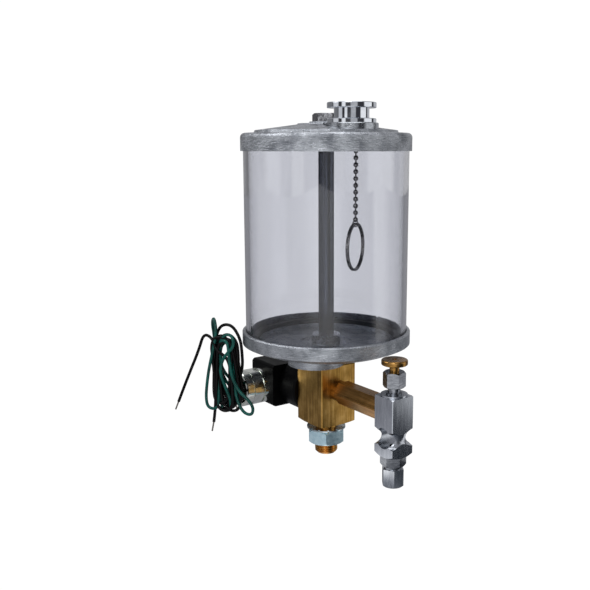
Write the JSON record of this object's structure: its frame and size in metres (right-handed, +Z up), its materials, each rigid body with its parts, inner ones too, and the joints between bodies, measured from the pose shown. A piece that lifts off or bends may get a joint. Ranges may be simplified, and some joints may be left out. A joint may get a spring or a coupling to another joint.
{
  "type": "automatic lubricator",
  "caption": "Clear-tank automatic oil lubricator with a solenoid valve, a needle-metered sight-drip outlet on a side arm, a filler cap on a bead chain and a threaded mounting stud.",
  "frame": {"origin": "centre of the square valve block's underside, the face that seats on the machine, on the axis of the mounting stud", "axes": "+Z up the tie rod, +X along the outlet arm, the solenoid along -X, its lead hub towards -Y"},
  "size_m": [0.1577, 0.1339, 0.2372],
  "materials": {
    "brass": "machined from bar, fine turning and mill lines, slightly dulled",
    "satin_nickel": "nickel plated brass, satin, turned",
    "fibre_gasket": "pressed fibre sheet",
    "dark_steel": "hardened spring steel, dull zinc",
    "zinc_steel": "zinc plated steel, bluish, satin",
    "cast_aluminium": "sand-cast aluminium, fine grain, turned rim",
    "black_rubber": "black nitrile, moulded",
    "clear_acrylic": "clear extruded acrylic tube, polished",
    "bright_steel": "bright drawn steel bar",
    "plated_die_cast": "plated die casting, satin",
    "polished_plate": "polished nickel plate",
    "nickel_chain": "nickel plated",
    "white_packing": "moulded fluoropolymer ring",
    "black_moulding": "black moulded coil encapsulation, satin",
    "zinc_die_cast": "zinc die casting, satin",
    "black_potting": "black potting compound",
    "black_lead": "black wire insulation",
    "green_lead": "green wire insulation",
    "tinned_copper": "tinned stranded copper"
  },
  "bodies": {
    "root": {"valve_block": "brass", "block_gasket": "fibre_gasket", "mounting_stud": "brass", "lock_washer": "dark_steel", "jam_nut": "zinc_steel", "base_casting": "cast_aluminium", "base_gasket": "black_rubber", "lid_gasket": "black_rubber", "reservoir_tube": "clear_acrylic", "lid_casting": "cast_aluminium", "tie_rod": "bright_steel", "tie_rod_lower_nut": "zinc_steel", "tie_rod_top_nut": "zinc_steel", "filler_neck": "plated_die_cast", "outlet_arm": "brass", "sight_body": "satin_nickel", "drip_nozzle": "nickel_chain", "packing_washer": "satin_nickel", "packing_nut": "satin_nickel", "stem_packing": "white_packing", "outlet_fitting": "satin_nickel", "ferrule": "brass", "compression_nut": "satin_nickel", "solenoid_base": "black_moulding", "coil_housing": "black_moulding", "core_tube": "bright_steel", "coil_washer": "zinc_steel", "coil_nut": "zinc_steel", "plunger_spring": "bright_steel", "conduit_hub": "zinc_die_cast", "lead_grommet": "black_potting", "lead_hank": "black_lead", "lead_black_run": "black_lead", "lead_black_two_run": "black_lead", "lead_green_run": "green_lead", "lead_black_tail": "black_lead", "lead_black_two_tail": "black_lead", "lead_green_tail": "green_lead", "stripped_ends": "tinned_copper"},
    "cap": {"filler_cap": "polished_plate", "cap_seal": "black_rubber"},
    "chain": {"bead_chain": "nickel_chain"},
    "ring": {"key_ring": "nickel_chain"},
    "needle": {"needle": "brass"},
    "knob": {"needle_knob": "brass"},
    "plunger": {"plunger": "bright_steel"}
  },
  "joints": [
    {"name": "cap_lift", "type": "slide", "parent": "root", "child": "cap", "axis": [0, 0, 1], "range_m": [0, 0.045]},
    {"name": "chain_swing", "type": "hinge", "parent": "cap", "child": "chain", "pos_m": [0.0284, 0.002, 0.1885], "axis": [1, 0, 0], "range_deg": [-4, 4]},
    {"name": "ring_swing", "type": "hinge", "parent": "chain", "child": "ring", "pos_m": [0.0284, 0.002, 0.13845], "axis": [0.8526, 0.5225, 0], "range_deg": [-20, 20]},
    {"name": "needle_lift", "type": "slide", "parent": "root", "child": "needle", "axis": [0, 0, 1], "range_m": [0, 0.003]},
    {"name": "knob_turn", "type": "hinge", "parent": "needle", "child": "knob", "pos_m": [0.0706, 0, 0.057], "axis": [0, 0, 1], "range_deg": [0, 1690]},
    {"name": "plunger_travel", "type": "slide", "parent": "root", "child": "plunger", "axis": [-1, 0, 0], "range_m": [0, 0.0025], "stiffness_N_per_m": 120, "springref_m": -0.01, "deforming": ["plunger_spring"]}
  ],
  "couplings": [
    {"joint": "needle_lift", "follows": "knob_turn", "m_per_rad": 0.0001011}
  ]
}
